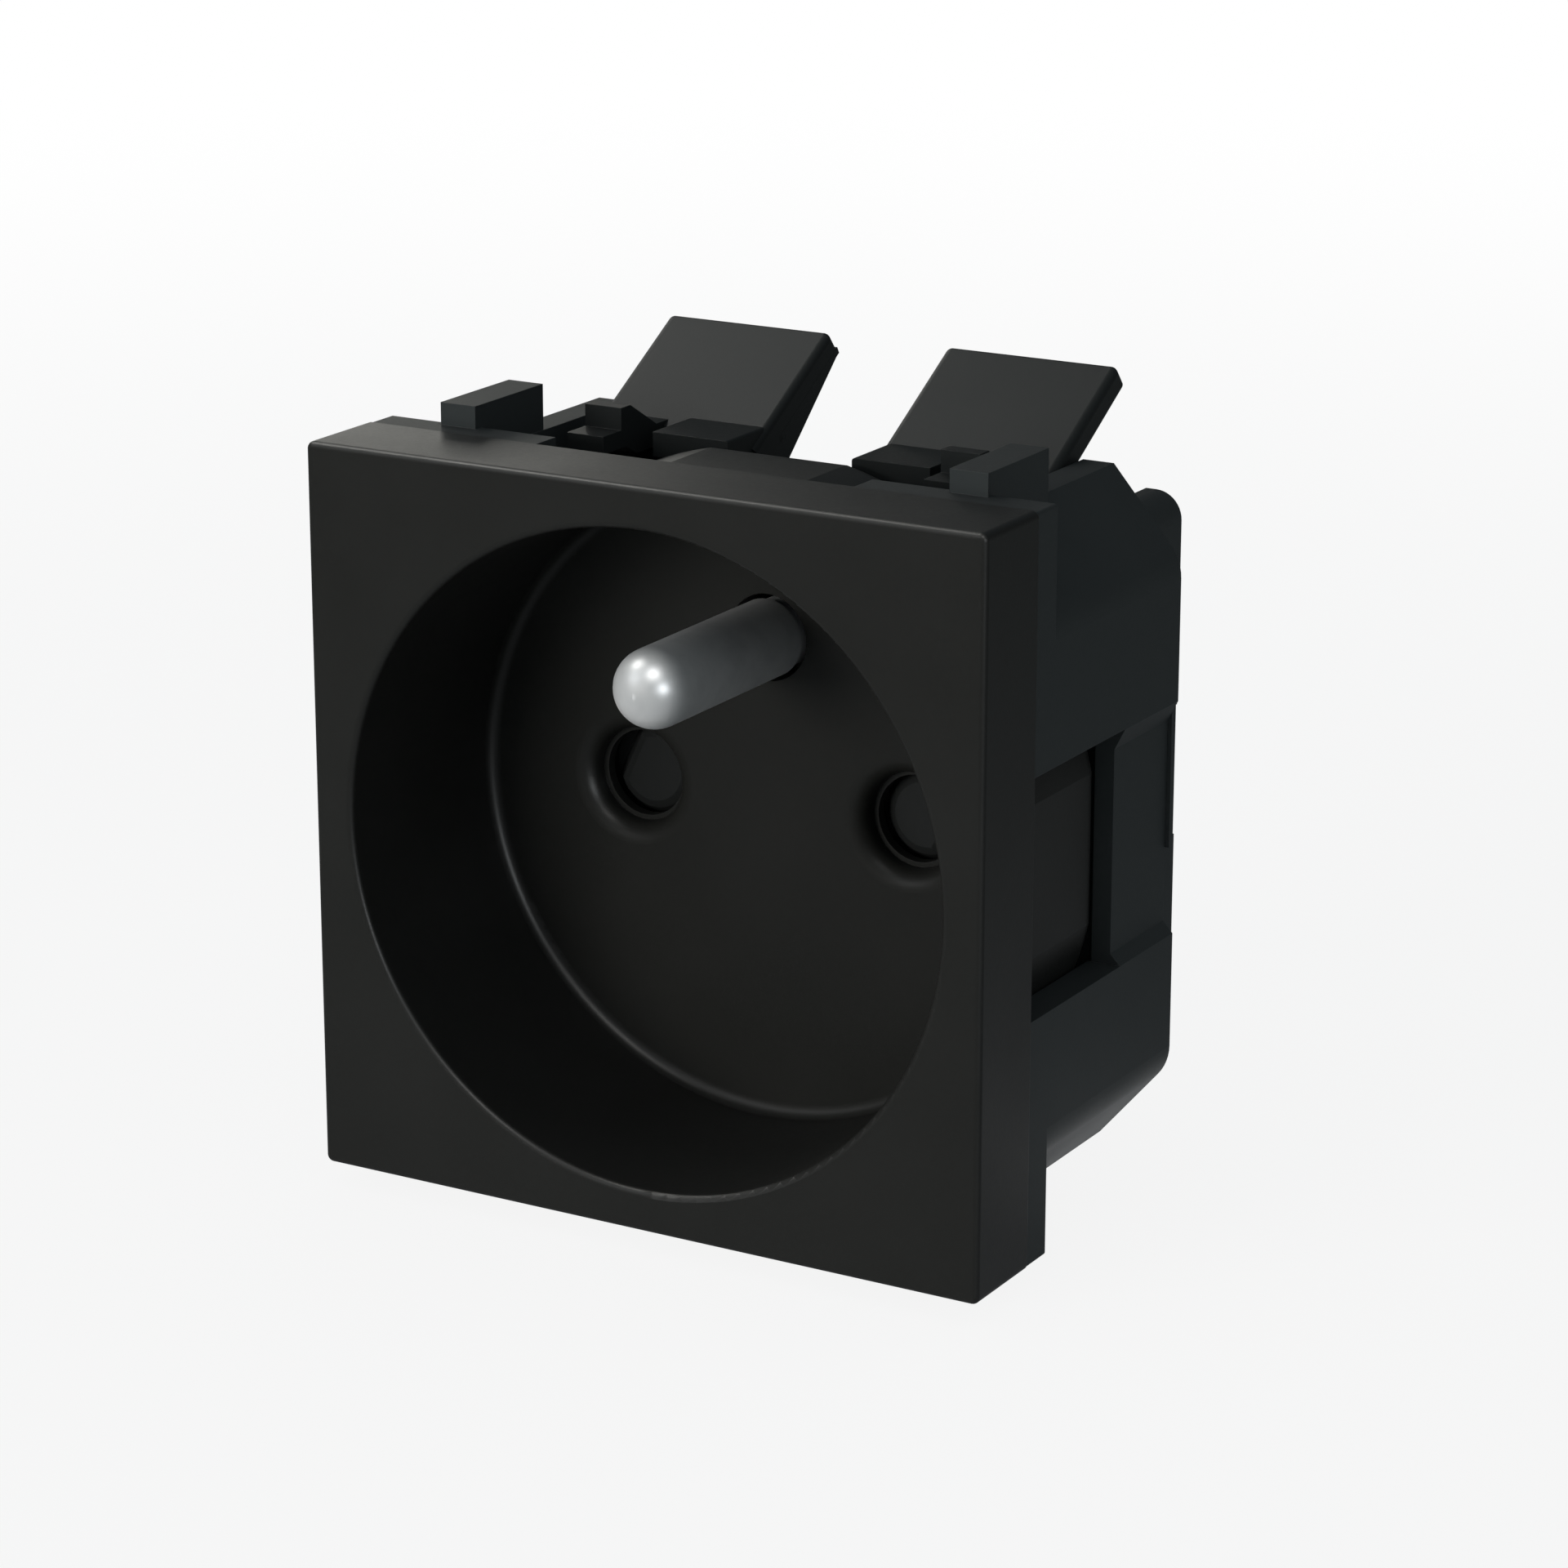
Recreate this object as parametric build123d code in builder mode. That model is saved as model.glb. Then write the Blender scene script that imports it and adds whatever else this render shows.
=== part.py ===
import os

from build123d import *

os.makedirs("parts", exist_ok=True)

# Wall socket module, 45 mm square, two live holes and a projecting earth pin.
# X points right, Y goes into the wall, Z up; the origin is the centre of the front face.
# Every depth below is measured along Y from the front face.

# General clearances
seat_gap = 0.05
slide_gap = 0.1
run_gap = 0.05

# Front cover and its round well
face_size = 45.0
face_corner = 0.45
face_edge = 0.35
cover_depth = 6.15
face_plate = 2.0
skirt_wall = 1.4
well_margin = 2.6
well_radius = face_size / 2 - well_margin
well_depth = 15.0
well_rim = 0.4
well_corner = 0.75
cup_wall = 1.6
cup_radius = well_radius + cup_wall
cup_flat_cut = 0.5
cup_flat = cup_radius - cup_flat_cut
cup_corner = 1.2
floor_thick = 2.2
cup_back = well_depth + floor_thick

# Live holes
live_spacing = 19.0
live_x = live_spacing / 2
live_radius = 3.0
live_soft_edge = 1.2
live_ring_radius = 2.7
live_ring_thick = 0.7

# Earth pin
earth_z = 10.2
pin_radius = 2.4
pin_tip = -0.2
pin_step_lead = 0.1
pin_step = well_depth - pin_step_lead
pin_step_height = 0.25
pin_shank_radius = pin_radius - pin_step_height
pin_hole_gap = 0.27
pin_collar_radius = 3.3
pin_collar_thick = 1.2
pin_tail_radius = 1.8
pin_tail_length = 1.6

# Housing
flange_setback = 0.1
flange_size = face_size - 2 * flange_setback
flange_corner = 0.2
flange_depth = 8.6
body_half_width = flange_size / 2
top_setback = 1.45
body_half_height = body_half_width - top_setback
rail_setback = 4.55
rail_outer = body_half_width - rail_setback
rail_width = 2.02
rail_inner = rail_outer - rail_width
slope_drop = 5.3
slope_foot = body_half_height - slope_drop
slope_fillet = 3.0
deck_gap = 0.5
deck_front = cup_back + deck_gap
deck_thick = 2.0
deck_back = deck_front + deck_thick
body_reach = 5.07
body_back = deck_back + body_reach
body_wall = 2.0
pocket_wall = 1.4
pocket_depth = 2.75
deck_top = body_half_height - pocket_depth
pocket_step = 1.2
pocket_floor = deck_top - pocket_step
flange_notch_half = 10.65

# Side notches
notch_top = 7.1
notch_bottom = -7.4
panel_recess = 0.65
side_pocket_outer = body_half_width - 1.9
side_pocket_width = 1.8
side_pocket_depth = 1.4
side_pocket_height = 18.0
panel_top_slope = 1.3
panel_bottom_slope = 0.7

# Locating lugs
lug_step = 0.07
lug_inner = rail_inner + lug_step
lug_width = 2.45
lug_outer = lug_inner + lug_width
lug_front = 8.0
lug_back = 15.36
lug_rise = 1.27
lug_top = face_size / 2 + lug_rise

# Release levers with their snap hooks; the profile's points are measured from the pivot
pivot_setback = 3.0
pivot_y = deck_back + pivot_setback
pivot_drop = 1.95
pivot_z = body_half_height - pivot_drop
pivot_radius = 0.8
pin_seat_gap = 0.02
lever_inner = 4.02
lever_side_gap = 0.17
lever_outer = rail_inner - lever_side_gap
lever_toe = (-2.35, 1.17)
lever_tip_front = (6.9, 6.62)
lever_tip_back = (8.05, 5.26)
lever_heel = (1.57, -0.45)
lever_toe_low = (-2.03, 0.61)
lever_back_foot = (0.6, 0.78)
lever_rib_top = (7.6, 4.99)
lever_rib_setback = 1.5
lever_rib_width = lever_outer - lever_rib_setback - lever_inner
lever_tip_round = 0.25
lever_side_round = 0.45
lever_boss = 1.6
pin_setback = 1.0
pin_start = lever_inner + pin_setback
pin_end_wall = 0.65
pin_end = rail_outer - pin_end_wall
hook_setback = 2.19
hook_outer = lever_outer - hook_setback
hook_width = 2.57
hook_inner = hook_outer - hook_width
slot_width = 1.4
nose_setback = 0.23
nose_inner = lever_inner + nose_setback
nose_outer = hook_inner - slot_width
nose_reach = 5.15
nose_front = pivot_y - nose_reach
nose_rise = 2.12
nose_top = pivot_z + nose_rise
nose_height = 1.52
nose_bottom = nose_top - nose_height
nose_round = 0.2
hook_reach = 8.5
hook_step_front = pivot_y - hook_reach
hook_step_length = 2.05
hook_front = hook_step_front + hook_step_length
hook_step_rise = 2.29
hook_step_top = pivot_z + hook_step_rise
hook_height = 1.37
hook_top = hook_step_top + hook_height
hook_crest = 1.05
hook_length = 4.01
hook_ramp_end = hook_front + hook_length
hook_step_drop = 0.35
arm_top = hook_step_top - hook_step_drop
arm_thick = 1.39
arm_bottom = arm_top - arm_thick
arm_rise = 0.65
toe_bottom = arm_bottom + arm_rise
arm_rise_end = hook_front + 0.45 * hook_crest
arm_rise_start = arm_rise_end + 2 * arm_rise
post_thick = 1.0
post_radius = 1.25
slot_setback = 0.34
slot_top = arm_top - slot_setback
slot_run = 1.0
slot_length = 6.0

# Lever springs
leaf_thick = 0.25
leaf_width = 3.0
leaf_setback = 0.4
leaf_foot_front = nose_front + leaf_setback
leaf_length = 1.45
leaf_foot_back = leaf_foot_front + leaf_length
leaf_bend = 0.35

# Rotary shutter, its retainer and its spring
shutter_front = cup_back + slide_gap
shutter_plate = 0.8
shutter_thick = 1.8
shutter_back = shutter_front + shutter_thick
hub_radius = 3.4
stud_radius = 1.2
arm_half_width = 2.0
lobe_radius = 3.1
lobe_cut_point = (2.03, -1.12)
lobe_cut_angle = 24.9
lobe_bevel = 38.0
lobe_chamfer = 0.3
bay_gap = 1.0
shutter_bay_radius = live_x + lobe_radius + bay_gap
retainer_rim = 1.2
retainer_rim_radius = shutter_bay_radius + bay_gap
spring_wire = 0.35
spring_turns = 2
spring_radius = 2.3
spring_pocket = 1.3

# Rear cover
box_setback = 5.2
box_half_width = body_half_width - box_setback
box_depth = 10.83
box_back = body_back + box_depth
box_foot_setback = 4.05
box_bottom = box_foot_setback - body_half_height
box_head_setback = 6.15
box_top = body_half_height - box_head_setback
box_wall = 1.3
ear_radius = 1.75
ear_rise = 2.07
ear_top = box_top + ear_rise
saddle_drop = 0.45
ear_saddle = ear_top - saddle_drop
ear_width = 4.2
ear_inner = box_half_width - ear_width
box_corner = 1.75
lid_thick = 1.5
side_recess_depth = 0.7
side_recess_top = 3.47
side_recess_bottom = -4.9
side_recess_length = 7.6
tab_reach = 0.4
tab_thick = 0.5
tab_top = 6.6
tab_bottom = -2.1
back_panel_depth = 0.4
back_panel_margin = 3.4
back_panel_foot = -5.6
back_panel_round = 1.5
ejector_radius = 1.4
ejector_depth = 0.15
ejector_margin = 3.0
box_inside_back = box_back - box_wall

# Contacts, earth bar and terminals
sheet = 0.8
leaf_half_gap = 2.35
throat_half_gap = 3.0
contact_gap = 0.3
contact_width = 6.0
tail_width = 5.0
clip_sheet = 0.5
clip_width = 4.0
clip_setback = 3.3
mouth_length = 1.8
bar_thick = 1.0
bar_width = 5.0
bar_top_reach = 3.0
partition_thick = 1.0
terminal_spacing = 2 * (box_half_width - box_wall) / 3
cage_side_gap = 0.3
cage_width = terminal_spacing - partition_thick - 2 * cage_side_gap
cage_height = 5.2
cage_wall = 0.8
cage_length = 6.5
cage_rise = 8.3
cage_top = box_bottom + cage_rise
wire_radius = 1.65
wire_pitch = cage_width - 2 * cage_wall - 2 * wire_radius
wire_chamfer = 0.3
partition_rise = 3.6
partition_top = cage_top + partition_rise
strip_thick = 0.4
strip_gap = 0.2
strip_width = cage_width - 2 * cage_wall - 2 * strip_gap
strip_setback = 1.2
strip_bend = 1.0


collar_front = deck_back + retainer_rim
contact_front = collar_front + contact_gap
clip_front = contact_front + clip_setback


def depth(y):
    """The plane across the socket at a depth, with local x right and local y up."""
    return Plane.XZ.offset(-y)


def side_plane(x):
    """The plane along the socket at a width, with local x inward and local y up."""
    return Plane.YZ.offset(x)


def cup_outline(gap):
    """The round cup with its four flats, widened by a gap."""
    Circle(cup_radius + gap)
    Rectangle(2 * (cup_flat + gap), 2 * (cup_flat + gap), mode=Mode.INTERSECT)


def body_outline(inset):
    """The housing's cross-section, a rectangle with sloped corners, drawn in by a wall."""
    half_w = body_half_width - inset
    half_h = body_half_height - inset
    slope_in = rail_outer - inset / 2
    slope_low = slope_foot - inset / 2
    corners = [(slope_in, half_h), (half_w, slope_low), (half_w, -slope_low), (slope_in, -half_h)]
    Polygon(*corners, *[(-x, z) for x, z in reversed(corners)], align=None)


# The cover is one moulding: square face, skirt, round well and its floor.
with BuildPart() as cover:
    with BuildSketch(depth(0)):
        RectangleRounded(face_size, face_size, face_corner)
    extrude(amount=-cover_depth)
    fillet(cover.faces().sort_by(Axis.Y)[0].outer_wire().edges(), face_edge)
    with BuildSketch(depth(face_plate)):
        RectangleRounded(face_size - 2 * skirt_wall, face_size - 2 * skirt_wall, face_corner)
    extrude(amount=-(cover_depth - face_plate), mode=Mode.SUBTRACT)
    with BuildSketch(depth(face_plate / 2)):
        cup_outline(0)
    extrude(amount=-(cup_back - face_plate / 2))
    fillet(cover.faces().sort_by(Axis.Y)[-1].outer_wire().edges(), cup_corner)
    with BuildSketch(depth(0)):
        Circle(well_radius)
    extrude(amount=-well_depth, mode=Mode.SUBTRACT)
    round_edges = cover.edges().filter_by(GeomType.CIRCLE)
    well_edges = round_edges.filter_by(lambda e: abs(e.radius - well_radius) < 1e-6)
    fillet(well_edges.sort_by(Axis.Y)[0], well_rim)
    fillet(well_edges.sort_by(Axis.Y)[-1], well_corner)
    with BuildSketch(depth(well_depth)):
        with Locations((-live_x, 0), (live_x, 0)):
            Circle(live_radius)
    extrude(amount=-(floor_thick - live_ring_thick), mode=Mode.SUBTRACT)
    floor_edges = cover.edges().filter_by_position(Axis.Y, well_depth - 0.01, well_depth + 0.01)
    rims = floor_edges.filter_by(GeomType.CIRCLE).filter_by(lambda e: abs(e.radius - live_radius) < 1e-6)
    fillet(rims, live_soft_edge)
    with BuildSketch(depth(well_depth)):
        with Locations((-live_x, 0), (live_x, 0)):
            Circle(live_ring_radius)
        with Locations((0, earth_z)):
            Circle(pin_radius + pin_hole_gap)
    extrude(amount=-(floor_thick + 1), mode=Mode.SUBTRACT)
cover.part.label = "cover"

# The housing carries everything: flange, side walls, rails, deck, lugs and fixed catches.
with BuildPart() as housing:
    with BuildSketch(depth(cover_depth + seat_gap)):
        RectangleRounded(flange_size, flange_size, flange_corner)
    extrude(amount=-(flange_depth - cover_depth - seat_gap))
    with BuildSketch(depth(flange_depth)):
        body_outline(0)
    extrude(amount=-(body_back - flange_depth))
    long_edges = housing.edges().filter_by(Axis.Y)
    side_edges = long_edges.filter_by(lambda e: abs(abs(e.center().X) - body_half_width) < 0.01)
    fillet(side_edges.filter_by(lambda e: abs(abs(e.center().Z) - slope_foot) < 0.01), slope_fillet)
    with BuildSketch(depth(cover_depth)):
        cup_outline(slide_gap)
    extrude(amount=-(deck_front - cover_depth), mode=Mode.SUBTRACT)
    with BuildSketch(depth(deck_back)):
        body_outline(body_wall)
        with Locations((0, body_half_height)):
            Rectangle(
                2 * rail_inner + 2 * pocket_wall,
                2 * (body_half_height - pocket_floor + pocket_wall),
                mode=Mode.SUBTRACT,
            )
    extrude(amount=-(body_back - deck_back), mode=Mode.SUBTRACT)
    with BuildSketch(depth(flange_depth)):
        with Locations((0, deck_top)):
            Rectangle(2 * rail_inner, body_half_height, align=(Align.CENTER, Align.MIN))
    extrude(amount=-(body_back - flange_depth), mode=Mode.SUBTRACT)
    with BuildSketch(depth(deck_back)):
        with Locations((0, pocket_floor)):
            Rectangle(2 * rail_inner, body_half_height, align=(Align.CENTER, Align.MIN))
    extrude(amount=-(body_back - deck_back), mode=Mode.SUBTRACT)
    with BuildSketch(depth(cover_depth)):
        with Locations((0, flange_size / 2)):
            Rectangle(2 * flange_notch_half, flange_size / 4)
    extrude(amount=-(flange_depth - cover_depth), mode=Mode.SUBTRACT)
    with BuildSketch(depth(deck_front)):
        Circle(shutter_bay_radius)
    extrude(amount=-deck_thick, mode=Mode.SUBTRACT)
    with BuildSketch(depth(lug_front)):
        with Locations(((lug_inner + lug_outer) / 2, 0)):
            Rectangle(lug_outer - lug_inner, 2 * lug_top)
            Rectangle(lug_outer - lug_inner, 2 * (body_half_height - 1), mode=Mode.SUBTRACT)
        mirror(about=Plane.YZ)
    extrude(amount=-(lug_back - lug_front))
    with BuildSketch(side_plane(hook_inner)):
        Polygon(
            (hook_front, -body_half_height + 1),
            (hook_front, -hook_top),
            (hook_front + hook_crest, -hook_top),
            (hook_ramp_end, -body_half_height),
            (hook_ramp_end, -body_half_height + 1),
            align=None,
        )
    catches = extrude(amount=hook_outer - hook_inner)
    mirror(catches, about=Plane.YZ)
    with BuildSketch(side_plane(body_half_width + 1)):
        with Locations((cover_depth, notch_bottom)):
            Rectangle(deck_front - cover_depth, notch_top - notch_bottom, align=(Align.MIN, Align.MIN))
    extrude(amount=-2 * (body_half_width + 1), mode=Mode.SUBTRACT)
    with BuildSketch(depth(deck_front)):
        Rectangle(2 * side_pocket_outer, side_pocket_height)
        Rectangle(2 * (side_pocket_outer - side_pocket_width), side_pocket_height, mode=Mode.SUBTRACT)
    extrude(amount=-side_pocket_depth, mode=Mode.SUBTRACT)
    with BuildSketch(depth(deck_front)):
        Polygon(
            (body_half_width - panel_recess, notch_top - panel_top_slope),
            (body_half_width + 0.01, notch_top),
            (body_half_width + 0.01, notch_bottom),
            (body_half_width - panel_recess, notch_bottom + panel_bottom_slope),
            align=None,
        )
        mirror(about=Plane.YZ)
    extrude(amount=-(body_back - deck_front), mode=Mode.SUBTRACT)
    with BuildSketch(side_plane(nose_outer + (slot_width - post_thick) / 2)):
        with Locations((pivot_y, pivot_z)):
            Circle(post_radius)
        with Locations((pivot_y, pocket_floor)):
            Rectangle(2 * post_radius, pivot_z - pocket_floor, align=(Align.CENTER, Align.MIN))
    posts = extrude(amount=post_thick)
    mirror(posts, about=Plane.YZ)
    with BuildSketch(side_plane(nose_outer)):
        with Locations((pivot_y, pivot_z)):
            Circle(pivot_radius + pin_seat_gap)
    bores = extrude(amount=pin_end + slide_gap - nose_outer, mode=Mode.SUBTRACT)
    mirror(bores, about=Plane.YZ, mode=Mode.SUBTRACT)
housing.part.label = "housing"

# The rear cover closes the housing and holds contacts and terminals in a deeper box.
with BuildPart() as rear_cover:
    with BuildSketch(depth(body_back - lid_thick)):
        body_outline(body_wall + slide_gap)
        with Locations((0, body_half_height)):
            Rectangle(
                2 * (rail_inner + pocket_wall + slide_gap),
                2 * (body_half_height - pocket_floor + pocket_wall + slide_gap),
                mode=Mode.SUBTRACT,
            )
    extrude(amount=-lid_thick)
    with BuildSketch(depth(body_back)):
        with Locations((0, box_bottom)):
            Rectangle(2 * box_half_width, box_top - box_bottom, align=(Align.CENTER, Align.MIN))
    extrude(amount=-(box_back - body_back))
    long_edges = rear_cover.edges().filter_by(Axis.Y)
    fillet(long_edges.filter_by_position(Axis.Z, box_bottom - 0.01, box_bottom + 0.01), box_corner)
    with BuildSketch(depth(body_back)):
        with Locations((ear_inner, box_top - box_wall)):
            Rectangle(box_half_width - ear_inner, ear_top - box_top + box_wall, align=(Align.MIN, Align.MIN))
        with Locations((box_half_width, ear_top)):
            Rectangle(2 * ear_radius, 2 * ear_radius, mode=Mode.SUBTRACT)
        with Locations((box_half_width - ear_radius, ear_top - ear_radius)):
            Circle(ear_radius)
        with Locations((ear_inner, ear_top)):
            Rectangle(2 * ear_radius, 2 * (ear_top - ear_saddle), mode=Mode.SUBTRACT)
        mirror(about=Plane.YZ)
    extrude(amount=-(box_back - body_back))
    with BuildSketch(depth(body_back - lid_thick)):
        with Locations((0, box_bottom + box_wall)):
            Rectangle(
                2 * (box_half_width - box_wall),
                box_top - box_bottom - 2 * box_wall,
                align=(Align.CENTER, Align.MIN),
            )
    extrude(amount=-(box_inside_back - body_back + lid_thick), mode=Mode.SUBTRACT)
    with BuildSketch(side_plane(box_half_width - side_recess_depth)):
        with Locations((box_back - side_recess_length, side_recess_bottom)):
            Rectangle(side_recess_length, side_recess_top - side_recess_bottom, align=(Align.MIN, Align.MIN))
    recesses = extrude(amount=2 * side_recess_depth, mode=Mode.SUBTRACT)
    mirror(recesses, about=Plane.YZ, mode=Mode.SUBTRACT)
    with BuildSketch(depth(body_back + seat_gap)):
        with Locations((0, (tab_top + tab_bottom) / 2)):
            Rectangle(2 * (body_half_width - tab_reach), tab_top - tab_bottom)
            Rectangle(2 * box_half_width - box_wall, tab_top - tab_bottom, mode=Mode.SUBTRACT)
    extrude(amount=-tab_thick)
    panel_half = box_half_width - back_panel_margin
    panel_top = box_top - back_panel_margin
    ejector_pitch = panel_top - back_panel_foot - 2 * ejector_margin
    with BuildSketch(depth(box_back)):
        with Locations((0, (panel_top + back_panel_foot) / 2)):
            RectangleRounded(2 * panel_half, panel_top - back_panel_foot, back_panel_round)
    extrude(amount=back_panel_depth, mode=Mode.SUBTRACT)
    with BuildSketch(depth(box_back - back_panel_depth)):
        with Locations((0, (panel_top + back_panel_foot) / 2)):
            with GridLocations(2 * (panel_half - ejector_margin), ejector_pitch, 2, 2):
                Circle(ejector_radius)
    extrude(amount=ejector_depth, mode=Mode.SUBTRACT)
    with BuildSketch(depth(box_inside_back)):
        for pole_x in (-terminal_spacing, 0, terminal_spacing):
            with Locations((pole_x, cage_top - cage_height / 2)):
                with GridLocations(wire_pitch, 1, 2, 1):
                    Circle(wire_radius)
    extrude(amount=-box_wall, mode=Mode.SUBTRACT)
    wire_edges = rear_cover.edges().filter_by(GeomType.CIRCLE).filter_by_position(
        Axis.Y, box_back - 0.01, box_back + 0.01
    )
    chamfer(wire_edges.filter_by(lambda e: abs(e.radius - wire_radius) < 1e-6), wire_chamfer)
    # Two partitions keep the three terminals apart.
    partition_foot = box_bottom + box_wall / 2
    with BuildSketch(depth(body_back)):
        with Locations((-terminal_spacing / 2, partition_foot), (terminal_spacing / 2, partition_foot)):
            Rectangle(partition_thick, partition_top - partition_foot, align=(Align.CENTER, Align.MIN))
    extrude(amount=-(box_inside_back - body_back))
rear_cover.part.label = "rear_cover"

# Earth pin: round nose, shank, collar and a riveted tail.
bar_front = collar_front + pin_collar_thick
with BuildPart() as earth_pin:
    with BuildSketch(Plane.YZ):
        with BuildLine():
            nose = CenterArc((pin_tip + pin_radius, earth_z), pin_radius, 90, 90)
            Polyline(
                nose @ 0,
                (pin_step, earth_z + pin_radius),
                (pin_step, earth_z + pin_shank_radius),
                (collar_front, earth_z + pin_shank_radius),
                (collar_front, earth_z + pin_collar_radius),
                (bar_front, earth_z + pin_collar_radius),
                (bar_front, earth_z + pin_tail_radius),
                (bar_front + pin_tail_length, earth_z + pin_tail_radius),
                (bar_front + pin_tail_length, earth_z),
                nose @ 1,
            )
        make_face()
    revolve(axis=Axis((0, 0, earth_z), (0, 1, 0)))
earth_pin.part.label = "earth_pin"

# The earth bar runs from the pin's rivet down between the live contacts to its terminal.
bar_mid = bar_front + bar_thick / 2
with BuildPart() as earth_bar:
    with BuildSketch(side_plane(-bar_width / 2)):
        with BuildLine() as bar_line:
            FilletPolyline(
                (bar_mid, earth_z + bar_top_reach),
                (bar_mid, cage_top + bar_thick / 2),
                (box_inside_back - cage_length / 2, cage_top + bar_thick / 2),
                radius=bar_thick,
            )
        trace(bar_line.line, line_width=bar_thick)
    extrude(amount=bar_width)
    with BuildSketch(depth(bar_front)):
        with Locations((0, earth_z)):
            Circle(pin_tail_radius + pin_seat_gap)
    extrude(amount=-bar_thick, mode=Mode.SUBTRACT)
earth_bar.part.label = "earth_bar"

# Rotary shutter: hub, two arms and two bevelled lobes that close the live holes.
lobe_base = shutter_back - shutter_plate
with BuildPart() as shutter:
    with BuildSketch(depth(lobe_base)):
        Circle(hub_radius)
        Rectangle(live_spacing, 2 * arm_half_width)
        with PolarLocations(live_x, 2):
            Circle(lobe_radius)
    extrude(amount=-shutter_plate)
    with BuildSketch(depth(lobe_base)):
        with PolarLocations(live_x, 2):
            Circle(lobe_radius)
            with Locations(lobe_cut_point):
                Rectangle(
                    lobe_radius * 2,
                    lobe_radius * 4,
                    rotation=-lobe_cut_angle,
                    align=(Align.MIN, Align.CENTER),
                    mode=Mode.SUBTRACT,
                )
    extrude(amount=lobe_base - shutter_front, taper=lobe_bevel)
    chamfer(shutter.faces().sort_by(Axis.Y)[0].outer_wire().edges(), lobe_chamfer)
    chamfer(shutter.faces().sort_by(Axis.Y)[1].outer_wire().edges(), lobe_chamfer)
    with BuildSketch(depth(shutter_front)):
        Circle(hub_radius)
    extrude(amount=-(lobe_base - shutter_front))
    with BuildSketch(depth(shutter_front)):
        Circle(stud_radius + run_gap)
    extrude(amount=-(shutter_back - shutter_front), mode=Mode.SUBTRACT)
shutter.part.label = "shutter"

# The retainer disc seats in the deck from behind and carries the shutter on its stud.
retainer_front = shutter_back + slide_gap
with BuildPart() as shutter_retainer:
    with BuildSketch(depth(retainer_front)):
        Circle(shutter_bay_radius - slide_gap)
    extrude(amount=-(collar_front - retainer_front))
    with BuildSketch(depth(deck_back)):
        Circle(retainer_rim_radius)
    extrude(amount=-retainer_rim)
    with BuildSketch(depth(shutter_front + slide_gap)):
        Circle(stud_radius)
    extrude(amount=-(retainer_front - shutter_front))
    with BuildSketch(depth(retainer_front)):
        Circle(spring_radius + spring_wire / 2 + slide_gap)
        Circle(spring_radius - spring_wire / 2 - slide_gap, mode=Mode.SUBTRACT)
    extrude(amount=-spring_pocket, mode=Mode.SUBTRACT)
    with BuildSketch(depth(retainer_front)):
        with Locations((-live_x, 0), (live_x, 0)):
            Circle(live_radius)
        with Locations((0, earth_z)):
            Circle(pin_shank_radius + run_gap)
    extrude(amount=-(collar_front - retainer_front), mode=Mode.SUBTRACT)
shutter_retainer.part.label = "shutter_retainer"

# The shutter's return spring is a short coil in the retainer's ring groove.
coil_start = retainer_front + spring_wire / 2
coil_height = spring_pocket - spring_wire - slide_gap
with BuildPart() as shutter_spring:
    with BuildLine() as coil_line:
        Helix(
            pitch=coil_height / spring_turns,
            height=coil_height,
            radius=spring_radius,
            center=(0, coil_start, 0),
            direction=(0, 1, 0),
        )
    with BuildSketch(Plane(coil_line.line @ 0, z_dir=coil_line.line % 0)):
        RegularPolygon(spring_wire / 2, 8)
    sweep(path=coil_line.line, is_frenet=True)
shutter_spring.part.label = "shutter_spring"


def add_mirrored(original, label):
    """A left-hand twin of a right-hand piece."""
    with BuildPart() as twin:
        mirror(original.part, about=Plane.YZ)
    twin.part.label = label
    return twin


# Each live contact is a folded brass strip: two leaves that grip the plug's pin, and a tail.
leaf_mid = leaf_half_gap + sheet / 2
mouth_mid = throat_half_gap + sheet / 2
with BuildPart() as contact_right:
    with BuildSketch(Plane.XY.offset(-contact_width / 2)):
        with BuildLine() as leaf_line:
            Polyline(
                (live_x - mouth_mid, contact_front),
                (live_x - leaf_mid, contact_front + mouth_length),
                (live_x - leaf_mid, box_inside_back - sheet / 2),
                (live_x + leaf_mid, box_inside_back - sheet / 2),
                (live_x + leaf_mid, contact_front + mouth_length),
                (live_x + mouth_mid, contact_front),
            )
        trace(leaf_line.line, line_width=sheet)
    extrude(amount=contact_width)
    with BuildSketch(depth(box_inside_back - sheet)):
        with Locations((live_x, cage_top)):
            Rectangle(tail_width, -cage_top, align=(Align.CENTER, Align.MIN))
    extrude(amount=-sheet)
contact_right.part.label = "contact_right"
contact_left = add_mirrored(contact_right, "contact_left")

# A steel clip hugs each contact from below and keeps its grip.
clip_mid = leaf_half_gap + sheet + clip_sheet / 2 + pin_seat_gap
with BuildPart() as contact_clip_right:
    with BuildSketch(depth(clip_front)):
        with BuildLine() as clip_line:
            FilletPolyline(
                (live_x - clip_mid, contact_width / 4),
                (live_x - clip_mid, -contact_width / 2 - clip_sheet / 2 - pin_seat_gap),
                (live_x + clip_mid, -contact_width / 2 - clip_sheet / 2 - pin_seat_gap),
                (live_x + clip_mid, contact_width / 4),
                radius=clip_sheet / 2 + pin_seat_gap,
            )
        trace(clip_line.line, line_width=clip_sheet)
    extrude(amount=-clip_width)
contact_clip_right.part.label = "contact_clip_right"
contact_clip_left = add_mirrored(contact_clip_right, "contact_clip_left")

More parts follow.
